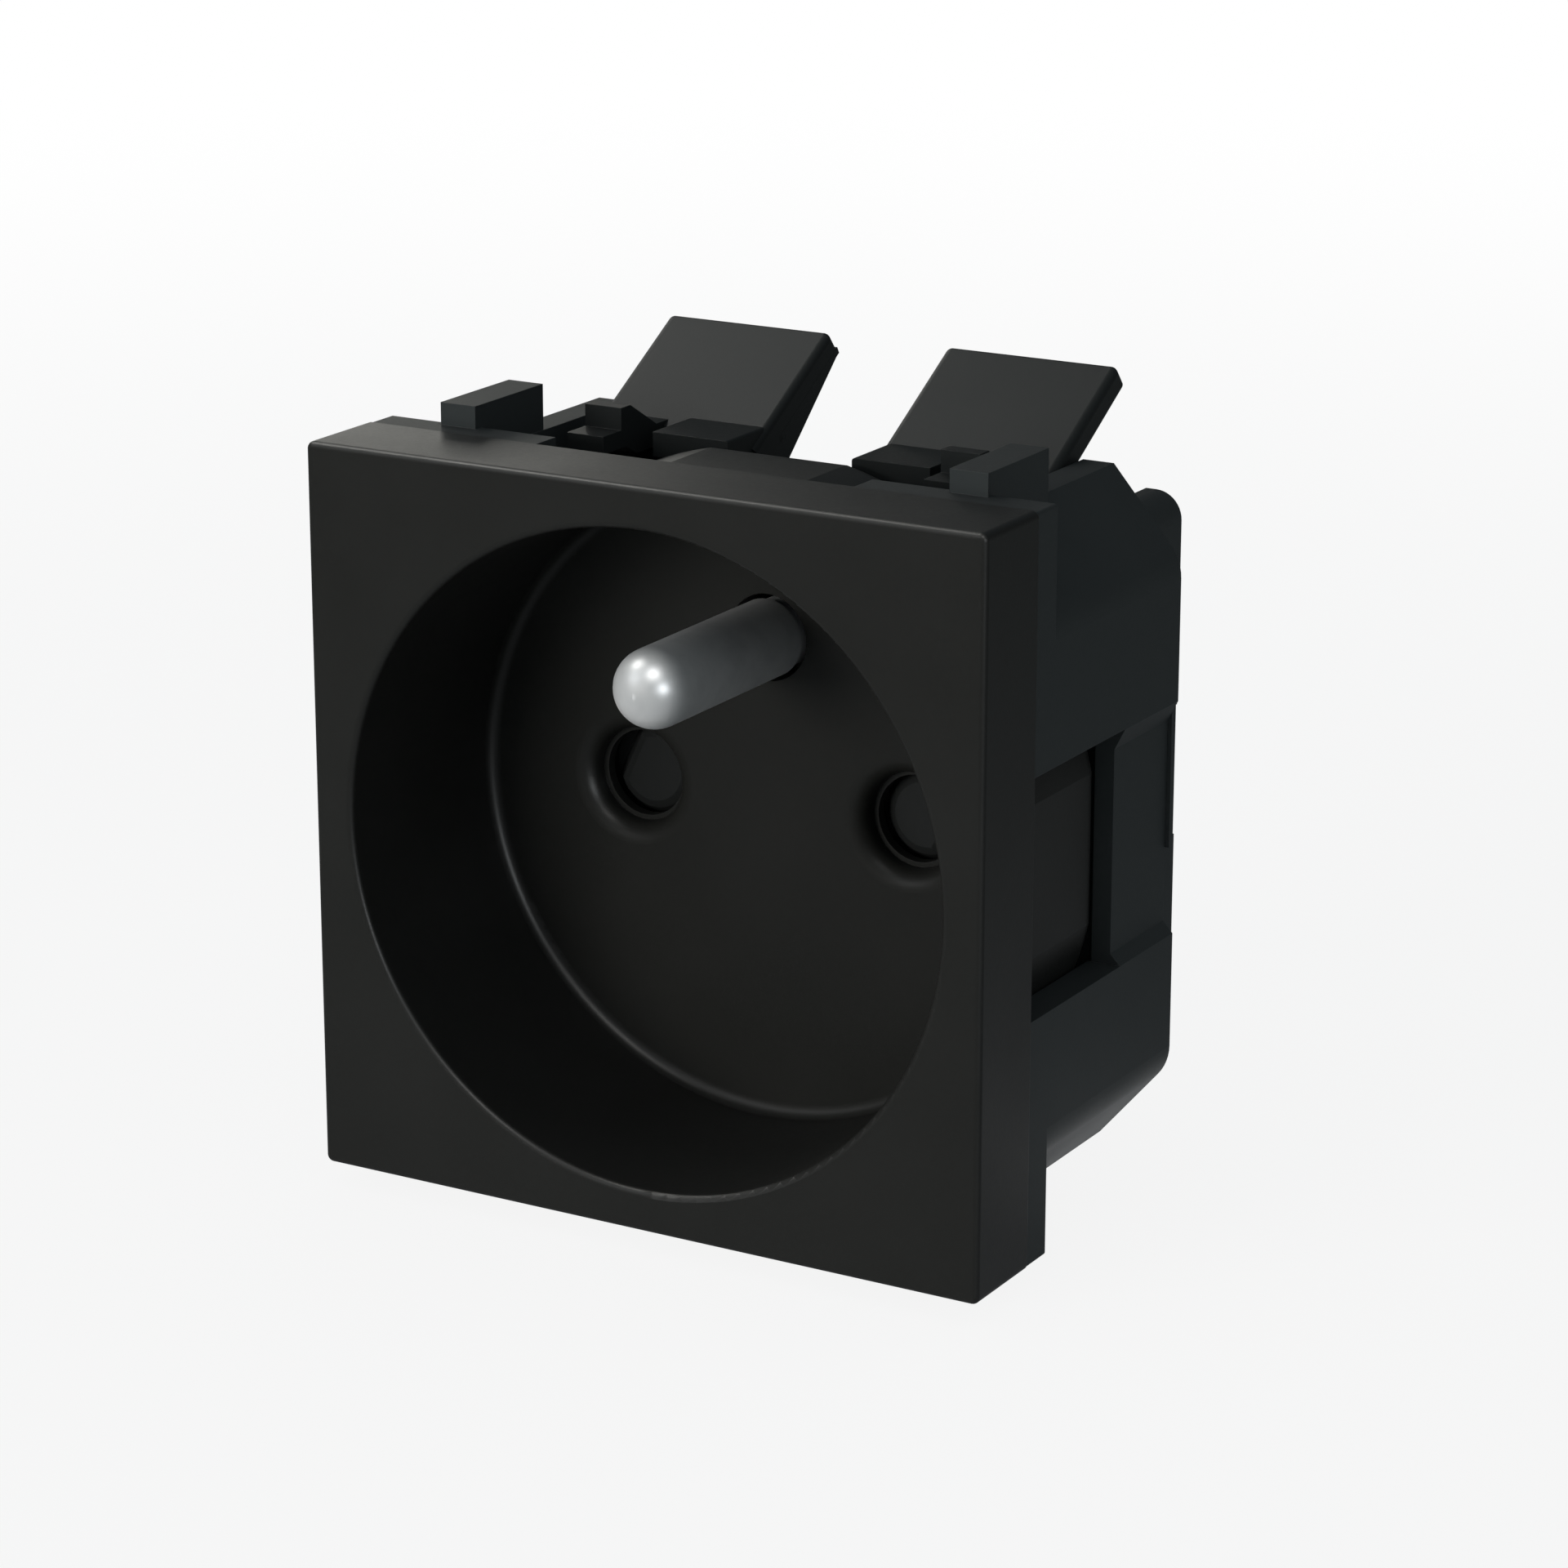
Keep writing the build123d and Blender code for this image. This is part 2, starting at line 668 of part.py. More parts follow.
# Three terminals: a box clamp with a bent strip spring that grips the wires.
cage_mid_z = cage_top - cage_height / 2
cage_front = box_inside_back - cage_length
strip_high = cage_top - cage_wall - strip_thick / 2
strip_low = cage_top - cage_height + cage_wall + strip_thick
terminals = []
for pole, pole_x in (("left", -terminal_spacing), ("earth", 0), ("right", terminal_spacing)):
    with BuildPart() as terminal_cage:
        with BuildSketch(depth(cage_front)):
            with Locations((pole_x, cage_mid_z)):
                Rectangle(cage_width, cage_height)
                Rectangle(cage_width - 2 * cage_wall, cage_height - 2 * cage_wall, mode=Mode.SUBTRACT)
        extrude(amount=-cage_length)
    terminal_cage.part.label = "terminal_cage_" + pole
    terminals.append(terminal_cage)
    with BuildPart() as clamp_spring:
        with BuildSketch(side_plane(pole_x - strip_width / 2)):
            with BuildLine() as strip_line:
                FilletPolyline(
                    (box_inside_back - strip_setback, strip_high),
                    (cage_front + strip_thick, strip_high),
                    (cage_front + strip_thick, strip_high - strip_bend),
                    (box_inside_back - strip_setback, strip_low),
                    radius=strip_thick,
                )
            trace(strip_line.line, line_width=strip_thick)
        extrude(amount=strip_width)
    clamp_spring.part.label = "clamp_spring_" + pole
    terminals.append(clamp_spring)

# Each release lever is one moulding: finger plate, nose, snap hook and pivot boss.
plate_direction = Vector(0, lever_tip_front[0] - lever_toe[0], lever_tip_front[1] - lever_toe[1])
with BuildPart() as lever_right:
    with BuildSketch(side_plane(lever_inner)):
        with Locations((pivot_y, pivot_z)):
            Polygon(lever_toe, lever_tip_front, lever_tip_back, lever_back_foot, lever_toe_low, align=None)
    extrude(amount=lever_outer - lever_inner)
    fillet(lever_right.edges().filter_by(Axis.X).sort_by(Axis.Y)[-2:], lever_tip_round)
    plate_sides = lever_right.edges().filter_by(Axis((0, 0, 0), plate_direction))
    fillet(plate_sides, lever_side_round)
    with BuildSketch(side_plane(lever_inner)):
        with Locations((pivot_y, pivot_z)):
            Circle(lever_boss)
    extrude(amount=lever_outer - lever_inner)
    with BuildSketch(side_plane(lever_inner)):
        with Locations((pivot_y, pivot_z)):
            Polygon(lever_toe_low, lever_back_foot, lever_rib_top, lever_heel, align=None)
    extrude(amount=lever_rib_width)
    with BuildSketch(depth(nose_front)):
        with Locations((nose_inner, nose_bottom)):
            Rectangle(nose_outer - nose_inner, nose_top - nose_bottom, align=(Align.MIN, Align.MIN))
        fillet(vertices().group_by(Axis.Y)[-1].sort_by(Axis.X)[0], nose_round)
    extrude(amount=-(pivot_y - nose_front))
    with BuildSketch(side_plane(hook_inner)):
        Polygon(
            (hook_step_front, toe_bottom),
            (hook_step_front, hook_step_top),
            (hook_front, hook_step_top),
            (hook_front, hook_top),
            (hook_front + hook_crest, hook_top),
            (hook_ramp_end, arm_top),
            (pivot_y, arm_top),
            (pivot_y, arm_bottom),
            (arm_rise_start, arm_bottom),
            (arm_rise_end, toe_bottom),
            align=None,
        )
    extrude(amount=hook_outer - hook_inner)
    with BuildSketch(side_plane(nose_outer)):
        with Locations((pivot_y + lever_toe[0] - slot_run, slot_top)):
            Rectangle(slot_length, slot_length, align=(Align.MIN, Align.MAX))
    extrude(amount=slot_width, mode=Mode.SUBTRACT)
    with BuildSketch(side_plane(pin_start - slide_gap)):
        with Locations((pivot_y, pivot_z)):
            Circle(pivot_radius + run_gap)
    extrude(amount=lever_outer - pin_start + slide_gap, mode=Mode.SUBTRACT)
lever_right.part.label = "lever_right"
lever_left = add_mirrored(lever_right, "lever_left")

# Each lever turns on a plain steel pin held by the post and the rail.
with BuildPart() as lever_pin_right:
    with BuildSketch(side_plane(pin_start)):
        with Locations((pivot_y, pivot_z)):
            Circle(pivot_radius)
    extrude(amount=pin_end - pin_start)
lever_pin_right.part.label = "lever_pin_right"
lever_pin_left = add_mirrored(lever_pin_right, "lever_pin_left")

# A bent leaf spring under each nose lifts the hook back into place.
leaf_foot = deck_top + leaf_thick / 2
leaf_head = nose_bottom - leaf_thick / 2 - pin_seat_gap
with BuildPart() as leaf_spring_right:
    with BuildSketch(side_plane((nose_inner + nose_outer - leaf_width) / 2)):
        with BuildLine() as leaf_line:
            FilletPolyline(
                (leaf_foot_front, leaf_foot),
                (leaf_foot_back, leaf_foot),
                (leaf_foot_front + leaf_bend, leaf_head),
                radius=leaf_thick,
            )
        trace(leaf_line.line, line_width=leaf_thick)
    extrude(amount=leaf_width)
leaf_spring_right.part.label = "leaf_spring_right"
leaf_spring_left = add_mirrored(leaf_spring_right, "leaf_spring_left")

pieces = [
    cover, housing, rear_cover, earth_pin, earth_bar, shutter, shutter_retainer, shutter_spring,
    contact_left, contact_right, contact_clip_left, contact_clip_right, lever_left, lever_right,
    lever_pin_left, lever_pin_right, leaf_spring_left, leaf_spring_right,
]
for piece in pieces + terminals:
    export_step(piece.part, "parts/" + piece.part.label + ".step")
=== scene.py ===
"""Looks of a 45 mm wall socket module: finishes, lever webs, studio and camera.

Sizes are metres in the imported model's frame: X right, Y into the wall, Z up, and the origin at
the centre of the front face. Lengths written in millimetres are multiplied by MM.
"""

import logging
import math
from dataclasses import dataclass
from enum import Enum
from typing import Any, Sequence

import bpy
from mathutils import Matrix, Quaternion, Vector


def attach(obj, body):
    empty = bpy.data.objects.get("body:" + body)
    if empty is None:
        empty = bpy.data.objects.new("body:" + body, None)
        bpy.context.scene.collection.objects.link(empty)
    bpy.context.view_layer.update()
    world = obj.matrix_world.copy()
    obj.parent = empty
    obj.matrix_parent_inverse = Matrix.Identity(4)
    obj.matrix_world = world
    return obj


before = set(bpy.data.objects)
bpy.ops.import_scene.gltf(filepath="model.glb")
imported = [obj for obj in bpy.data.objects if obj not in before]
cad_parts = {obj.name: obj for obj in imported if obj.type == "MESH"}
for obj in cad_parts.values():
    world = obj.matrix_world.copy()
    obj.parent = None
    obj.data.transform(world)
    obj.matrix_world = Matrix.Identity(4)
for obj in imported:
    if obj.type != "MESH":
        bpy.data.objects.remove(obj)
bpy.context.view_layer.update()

MM = 0.001
Colour = tuple[float, float, float]
Place = tuple[float, float, float]
Stops = Sequence[tuple[float, float]]

WHITE: Colour = (1.0, 1.0, 1.0)
SOFT_DETAIL = 2.0
FINE_DETAIL = 3.0
MIX_FACTOR, MIX_FIRST, MIX_SECOND, MIX_RESULT = 0, 6, 7, 2

log = logging.getLogger("wall_socket")


class Signal:
    """A shader value that is worked on with plain arithmetic."""

    def __init__(self, bench: "PaintBench", socket: bpy.types.NodeSocket | None) -> None:
        """Wraps one output socket of a bench's node tree, or none for an output node."""
        self.bench = bench
        self.socket = socket

    def _maths(self, operation: str, first: Any, second: Any) -> "Signal":
        """Adds one Math node on two Signals or numbers and gives its result."""
        return self.bench.node("ShaderNodeMath", {"operation": operation}, {0: first, 1: second})

    def __add__(self, other: Any) -> "Signal":
        """self + other."""
        return self._maths("ADD", self, other)

    def __radd__(self, other: Any) -> "Signal":
        """other + self."""
        return self._maths("ADD", other, self)

    def __sub__(self, other: Any) -> "Signal":
        """self - other."""
        return self._maths("SUBTRACT", self, other)

    def __rsub__(self, other: Any) -> "Signal":
        """other - self."""
        return self._maths("SUBTRACT", other, self)

    def __mul__(self, other: Any) -> "Signal":
        """self * other."""
        return self._maths("MULTIPLY", self, other)

    def __rmul__(self, other: Any) -> "Signal":
        """other * self."""
        return self._maths("MULTIPLY", other, self)

    def highest(self, other: Any) -> "Signal":
        """The larger of self and other."""
        return self._maths("MAXIMUM", self, other)


class PaintBench:
    """The node tree of a material or a world while it is being wired."""

    def __init__(self, owner: bpy.types.Material | bpy.types.World) -> None:
        """Empties the owner's node tree and works on it.

        Args:
            owner: The material or world.
        """
        owner.use_nodes = True
        self.owner = owner
        self.tree = owner.node_tree
        self.tree.nodes.clear()

    def node(
        self, kind: str, settings: dict[str, Any], feeds: dict[Any, Any], out: Any = 0
    ) -> Signal:
        """Adds a node, sets it and feeds its sockets.

        Args:
            kind: The node's type.
            settings: Attributes of the node, and "stops" for a colour ramp.
            feeds: Socket name or number to a value or a Signal.
            out: Name or number of the output that is wanted.

        Returns:
            That output, or an empty Signal where the node has none.
        """
        node = self.tree.nodes.new(kind)
        for key, value in settings.items():
            if key == "stops":
                self._set_stops(node.color_ramp, value)
            else:
                setattr(node, key, value)
        for key, value in feeds.items():
            if isinstance(value, Signal):
                self.tree.links.new(value.socket, node.inputs[key])
            else:
                node.inputs[key].default_value = value
        return Signal(self, node.outputs[out] if len(node.outputs) else None)

    @staticmethod
    def _set_stops(ramp: bpy.types.ColorRamp, stops: Stops) -> None:
        """Gives a ramp its stops.

        Args:
            ramp: The ramp of a node.
            stops: Each stop's place from 0 to 1 and its level of grey.
        """
        while len(ramp.elements) > len(stops):
            ramp.elements.remove(ramp.elements[-1])
        while len(ramp.elements) < len(stops):
            ramp.elements.new(1.0)
        for element, (place, level) in zip(ramp.elements, stops):
            element.position = place
            element.color = (level, level, level, 1.0)

    def place_mm(self, stretch: Place = (1.0, 1.0, 1.0)) -> Signal:
        """Gives Object coordinates in millimetres.

        Args:
            stretch: A factor for each axis; below 1 it draws a pattern out along that axis.

        Returns:
            The coordinates.
        """
        where = self.node("ShaderNodeTexCoord", {}, {}, "Object")
        scale = tuple(factor / MM for factor in stretch)
        return self.node("ShaderNodeMapping", {}, {"Vector": where, "Scale": scale})

    def noise(
        self, where: Signal, size_mm: float, detail: float = SOFT_DETAIL, rough: float = 0.5
    ) -> Signal:
        """Soft noise from 0 to 1 with spots about size_mm across."""
        feeds = {"Vector": where, "Scale": 1.0 / size_mm, "Detail": detail, "Roughness": rough}
        return self.node("ShaderNodeTexNoise", {}, feeds, 0)

    def ramp(self, value: Signal, stops: Stops) -> Signal:
        """value sent through grey stops."""
        return self.node("ShaderNodeValToRGB", {"stops": stops}, {"Fac": value})

    def blend(self, factor: Any, first: Any, second: Any) -> Signal:
        """Mixes two colours.

        Args:
            factor: 0 for the first colour, 1 for the second.
            first: A colour or a Signal.
            second: A colour or a Signal.

        Returns:
            The mixed colour.
        """
        feeds = {
            MIX_FACTOR: factor,
            MIX_FIRST: self._rgba(first),
            MIX_SECOND: self._rgba(second),
        }
        return self.node("ShaderNodeMix", {"data_type": "RGBA"}, feeds, MIX_RESULT)

    @staticmethod
    def _rgba(colour: Any) -> Any:
        """A colour with its fourth number, or a Signal unchanged."""
        return colour if isinstance(colour, Signal) else (*colour, 1.0)

    def ray_is(self, kind: str) -> Signal:
        """1 for a ray of that kind, such as Camera or Glossy, and 0 for any other."""
        return self.node("ShaderNodeLightPath", {}, {}, f"Is {kind} Ray")

    def seen_directly(self) -> Signal:
        """1 for rays of the camera, of gloss and through glass, and 0 for those that light."""
        seen = self.ray_is("Camera").highest(self.ray_is("Glossy"))
        return seen.highest(self.ray_is("Transmission"))

    def glow(self, colour: Any, kind: str = "ShaderNodeEmission") -> Signal:
        """A plain light of one colour at strength 1."""
        return self.node(kind, {}, {"Color": self._rgba(colour)})

    def fade(self, value: Signal, start: float, full: float) -> Signal:
        """A soft step from 0 at start to 1 at full."""
        feeds = {"Value": value, "From Min": start, "From Max": full}
        return self.node("ShaderNodeMapRange", {"interpolation_type": "SMOOTHSTEP"}, feeds)

    def finish(self, shader: Signal, output: str = "ShaderNodeOutputMaterial") -> Any:
        """The material or world, with the shader joined to its output node."""
        self.node(output, {}, {"Surface": shader})
        return self.owner


@dataclass(frozen=True)
class MouldedPlastic:
    """Self-coloured plastic with a fine spark-eroded grain.

    The grain is a bump, the flow of the melt shows as faint mottling, and edges are softened.
    """

    name: str
    colour: Colour
    flow_colour: Colour
    roughness: float = 0.42
    specular: float = 0.3
    roughness_drop: float = 0.05
    roughness_spread: float = 0.06
    grain_mm: float = 0.11
    grain_depth_mm: float = 0.005
    grain_crispness: float = 0.6
    flow_mm: float = 9.0
    flow_share: float = 0.7
    speckle_mm: float = 0.35
    speckle_share: float = 0.3
    mottle_stops: Stops = ((0.35, 0.0), (0.65, 1.0))
    edge_mm: float = 0.05
    edge_samples: int = 6

    def make(self) -> bpy.types.Material:
        """Builds the material.

        Returns:
            The material.
        """
        bench = PaintBench(bpy.data.materials.new(self.name))
        where = bench.place_mm()
        grain = bench.noise(where, self.grain_mm, FINE_DETAIL, self.grain_crispness)
        flow = bench.noise(where, self.flow_mm)
        speckle = bench.noise(where, self.speckle_mm)
        mixture = flow * self.flow_share + speckle * self.speckle_share
        mottle = bench.ramp(mixture, self.mottle_stops)
        edge = {"Radius": self.edge_mm * MM}
        bump = {
            "Strength": 1.0,
            "Distance": self.grain_depth_mm * MM,
            "Height": grain,
            "Normal": bench.node("ShaderNodeBevel", {"samples": self.edge_samples}, edge),
        }
        smoothest = self.roughness - self.roughness_drop
        spread = self.roughness_spread
        feeds = {
            "Base Color": bench.blend(mottle, self.colour, self.flow_colour),
            "Roughness": smoothest + spread * mottle + spread * grain,
            "Specular IOR Level": self.specular,
            "Normal": bench.node("ShaderNodeBump", {}, bump),
        }
        return bench.finish(bench.node("ShaderNodeBsdfPrincipled", {}, feeds))


@dataclass(frozen=True)
class TurnedMetal:
    """Plated metal with the fine rings that turning leaves round the Y axis.

    Metallic stays below 1, because the satin plating also scatters light as a matt surface does.
    """

    name: str
    colour: Colour
    tarnish: Colour
    roughness: float
    metallic: float
    roughness_spread: float = 0.05
    ring_mm: float = 0.09
    ring_depth_mm: float = 0.0006
    ring_stretch: Place = (0.02, 1.0, 0.02)
    cloud_mm: float = 2.2
    cloud_stops: Stops = ((0.42, 0.0), (0.72, 1.0))

    def make(self) -> bpy.types.Material:
        """Builds the material.

        Returns:
            The material.
        """
        bench = PaintBench(bpy.data.materials.new(self.name))
        rings = bench.noise(bench.place_mm(self.ring_stretch), self.ring_mm)
        cloud = bench.noise(bench.place_mm(), self.cloud_mm, FINE_DETAIL)
        dull = bench.ramp(cloud, self.cloud_stops)
        bump = {"Strength": 1.0, "Distance": self.ring_depth_mm * MM, "Height": rings}
        spread = self.roughness_spread
        feeds = {
            "Base Color": bench.blend(dull, self.colour, self.tarnish),
            "Metallic": self.metallic,
            "Roughness": self.roughness + spread * dull + spread * rings,
            "Normal": bench.node("ShaderNodeBump", {}, bump),
        }
        return bench.finish(bench.node("ShaderNodeBsdfPrincipled", {}, feeds))


@dataclass(frozen=True)
class RolledMetal:
    """Stamped strip with rolling lines along one axis and faint oil spots."""

    name: str
    colour: Colour
    stain: Colour
    roughness: float = 0.32
    stain_roughness: float = 0.08
    line_roughness: float = 0.06
    line_stretch: Place = (1.0, 0.05, 1.0)
    line_mm: float = 0.12
    line_depth_mm: float = 0.0012
    spot_mm: float = 1.6
    spot_stops: Stops = ((0.45, 0.0), (0.7, 1.0))

    def make(self) -> bpy.types.Material:
        """Builds the material.

        Returns:
            The material.
        """
        bench = PaintBench(bpy.data.materials.new(self.name))
        lines = bench.noise(bench.place_mm(self.line_stretch), self.line_mm, FINE_DETAIL)
        cloud = bench.noise(bench.place_mm(), self.spot_mm, FINE_DETAIL)
        spots = bench.ramp(cloud, self.spot_stops)
        bump = {"Strength": 1.0, "Distance": self.line_depth_mm * MM, "Height": lines}
        rough = self.roughness + self.stain_roughness * spots + self.line_roughness * lines
        feeds = {
            "Base Color": bench.blend(spots, self.colour, self.stain),
            "Metallic": 1.0,
            "Roughness": rough,
            "Normal": bench.node("ShaderNodeBump", {}, bump),
        }
        return bench.finish(bench.node("ShaderNodeBsdfPrincipled", {}, feeds))


class Finish(Enum):
    """The finishes of this socket."""

    COVER = MouldedPlastic(
        "cover_black", (0.0128, 0.0130, 0.0120), (0.0144, 0.0146, 0.0136)
    )
    HOUSING = MouldedPlastic(
        "housing_black", (0.0310, 0.0360, 0.0374), (0.0334, 0.0386, 0.0400),
        roughness=0.52, specular=0.2,
    )
    LEVER = MouldedPlastic(
        "lever_black", (0.0165, 0.0187, 0.0189), (0.0181, 0.0203, 0.0205), specular=0.14
    )
    SHUTTER = MouldedPlastic(
        "shutter_black", (0.0128, 0.0136, 0.0135), (0.0144, 0.0152, 0.0151), roughness=0.34
    )
    NICKEL = TurnedMetal(
        "satin_nickel", (0.70, 0.71, 0.72), (0.60, 0.61, 0.62), roughness=0.38, metallic=0.38
    )
    BRASS = RolledMetal("stamped_brass", (0.78, 0.58, 0.28), (0.60, 0.41, 0.18))
    SPRING = RolledMetal(
        "spring_steel", (0.46, 0.46, 0.47), (0.30, 0.29, 0.28), roughness=0.26
    )
    ZINC = RolledMetal(
        "zinc_steel", (0.62, 0.63, 0.66), (0.50, 0.50, 0.50), roughness=0.38
    )

    def material(self) -> bpy.types.Material:
        """This finish's material, made the first time it is asked for."""
        return bpy.data.materials.get(self.value.name) or self.value.make()


def dress(node: str, finish: Finish) -> None:
    """Gives a CAD node its finish.

    Args:
        node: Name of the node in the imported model.
        finish: What it gets.
    """
    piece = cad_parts[node]
    if not piece.material_slots:
        piece.data.materials.append(finish.material())
    for slot in piece.material_slots:
        slot.material = finish.material()
    log.info("%s wears %s", node, finish.value.name)


@dataclass
class Mouldings:
    """The plastic pieces."""

    cover: str = "cover"
    housing: Sequence[str] = ("housing", "rear_cover")
    levers: Sequence[str] = ("lever_left", "lever_right")
    shutter: Sequence[str] = ("shutter", "shutter_retainer")

    def build(self) -> None:
        """Dresses them."""
        dress(self.cover, Finish.COVER)
        for node in self.housing:
            dress(node, Finish.HOUSING)
        for node in self.levers:
            dress(node, Finish.LEVER)
        for node in self.shutter:
            dress(node, Finish.SHUTTER)


@dataclass
class Metalwork:
    """The pin, contacts, terminals and springs."""

    sides: Sequence[str] = ("left", "right")
    poles: Sequence[str] = ("left", "earth", "right")

    def build(self) -> None:
        """Dresses them."""
        dress("earth_pin", Finish.NICKEL)
        dress("earth_bar", Finish.BRASS)
        dress("shutter_spring", Finish.SPRING)
        for side in self.sides:
            dress("contact_" + side, Finish.BRASS)
            dress("contact_clip_" + side, Finish.SPRING)
            dress("lever_pin_" + side, Finish.SPRING)
            dress("leaf_spring_" + side, Finish.SPRING)
        for pole in self.poles:
            dress("terminal_cage_" + pole, Finish.ZINC)
            dress("clamp_spring_" + pole, Finish.SPRING)


@dataclass
class LeverWebs:
    """The webs that close the narrow groove behind each release lever's plate.

    Each is a bar along the plate's back line. The line's ends are Y and Z from the lever's pivot,
    and start_mm and end_mm count along it from its foot.
    """

    sides: Sequence[str] = ("left", "right")
    pivot_mm: tuple[float, float] = (22.7, 19.0)
    line_foot_mm: tuple[float, float] = (0.6, 0.78)
    line_tip_mm: tuple[float, float] = (8.05, 5.26)
    start_mm: float = 0.2
    end_mm: float = 8.55
    thick_mm: float = 0.46
    inner_mm: float = 4.02
    outer_mm: float = 4.50

    def build(self) -> None:
        """Adds one web to each lever."""
        for side in self.sides:
            self._add(side, -1.0 if side == "left" else 1.0)

    def _centre(self, along: Vector) -> Vector:
        """Finds the middle of a web.

        Args:
            along: The plate's direction in Y and Z, one unit long.

        Returns:
            The middle's Y and Z in millimetres.
        """
        inward = Vector((-along.y, along.x))
        middle = (self.start_mm + self.end_mm) / 2
        foot = Vector(self.pivot_mm) + Vector(self.line_foot_mm)
        return foot + along * middle + inward * self.thick_mm / 2

    def _add(self, side: str, sign: float) -> None:
        """Adds the web of one lever, shaped in edit mode from a cube.

        Args:
            side: Which lever.
            sign: Its side of the X axis.
        """
        along = (Vector(self.line_tip_mm) - Vector(self.line_foot_mm)).normalized()
        centre = self._centre(along)
        place = (sign * (self.inner_mm + self.outer_mm) / 2, centre.x, centre.y)
        size = (self.outer_mm - self.inner_mm, self.end_mm - self.start_mm, self.thick_mm)
        bpy.ops.object.select_all(action="DESELECT")
        bpy.ops.mesh.primitive_cube_add(size=1.0, location=(0, 0, 0))
        web = bpy.context.object
        web.name = "lever_web_" + side
        bpy.ops.object.mode_set(mode="EDIT")
        bpy.ops.mesh.select_all(action="SELECT")
        bpy.ops.transform.resize(
            value=[length * MM for length in size], center_override=(0, 0, 0)
        )
        bpy.ops.transform.rotate(
            value=-math.atan2(along.y, along.x), orient_axis="X", orient_type="GLOBAL",
            center_override=(0, 0, 0),
        )
        bpy.ops.transform.translate(value=[length * MM for length in place])
        bpy.ops.mesh.normals_make_consistent(inside=False)
        bpy.ops.object.mode_set(mode="OBJECT")
        web.data.materials.append(Finish.LEVER.material())
        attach(web, "lever_" + side)
        log.info("%s added", web.name)


class Reach(Enum):
    """What a lamp shows up in."""

    MATT = "matt light"
    GLOSS = "reflections"


@dataclass(frozen=True)
class SoftBox:
    """One rectangular lamp that looks at a point of the socket."""

    name: str
    place: Place
    size: tuple[float, float]
    watts: float
    colour: Colour
    reach: Reach = Reach.GLOSS
    aim: Place = (0.0, 0.012, 0.0)

    def build(self) -> None:
        """Adds the lamp and turns it to its aim."""
        bpy.ops.object.light_add(type="AREA", location=self.place)
        lamp = bpy.context.object
        lamp.name = self.name
        lamp.data.shape = "RECTANGLE"
        lamp.data.size, lamp.data.size_y = self.size
        lamp.data.energy = self.watts
        lamp.data.color = self.colour
        lamp.visible_glossy = self.reach is Reach.GLOSS
        lamp.visible_diffuse = self.reach is Reach.MATT
        lamp.rotation_mode = "QUATERNION"
        look = Vector(self.aim) - Vector(self.place)
        lamp.rotation_quaternion = look.to_track_quat("-Z", "Y")
        log.info("lamp %s", self.name)


